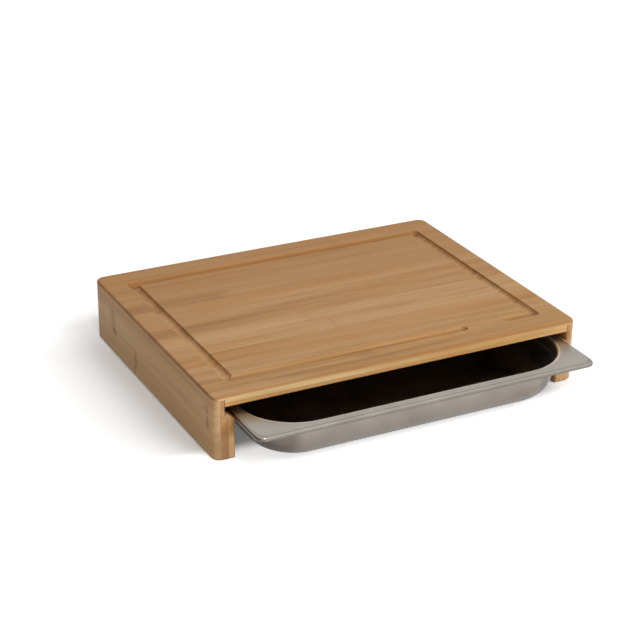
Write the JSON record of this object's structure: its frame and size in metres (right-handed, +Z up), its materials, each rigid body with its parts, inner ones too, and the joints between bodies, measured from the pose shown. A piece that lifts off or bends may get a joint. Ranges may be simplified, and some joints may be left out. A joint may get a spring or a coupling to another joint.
{
  "type": "cutting board with drawer tray",
  "caption": "Bamboo cutting board on side runners with a juice groove and a steel tray that slides out in slots beneath it.",
  "frame": {"origin": "bottom centre of the whole with the tray partly pulled out, on the surface it stands on", "axes": "+X to the right along the board's long side, +Y to the closed back, +Z up; the tray slides out towards -Y"},
  "size_m": [0.355, 0.3326, 0.059],
  "materials": {
    "bamboo_top": "oiled bamboo strips, satin",
    "bamboo_edge": "oiled bamboo, pale edge grain",
    "bamboo_outer": "oiled bamboo, satin",
    "bamboo_middle": "oiled bamboo, darker ply",
    "bamboo_inner": "oiled bamboo, satin",
    "bamboo_back": "oiled bamboo, satin",
    "tongue_wood": "plain wood, unoiled",
    "satin_steel": "satin stainless steel"
  },
  "bodies": {
    "stand": {"top_upper_ply": "bamboo_top", "top_lower_ply": "bamboo_edge", "left_outer_ply": "bamboo_outer", "left_middle_ply": "bamboo_middle", "left_inner_ply": "bamboo_inner", "right_outer_ply": "bamboo_outer", "right_middle_ply": "bamboo_middle", "right_inner_ply": "bamboo_inner", "back_panel": "bamboo_back", "side_tongues": "tongue_wood", "top_tongue": "tongue_wood"},
    "tray": {"tray": "satin_steel"}
  },
  "joints": [
    {"name": "tray_slide", "type": "slide", "parent": "stand", "child": "tray", "axis": [0, -1, 0], "range_m": [-0.0545, 0.1855]}
  ]
}
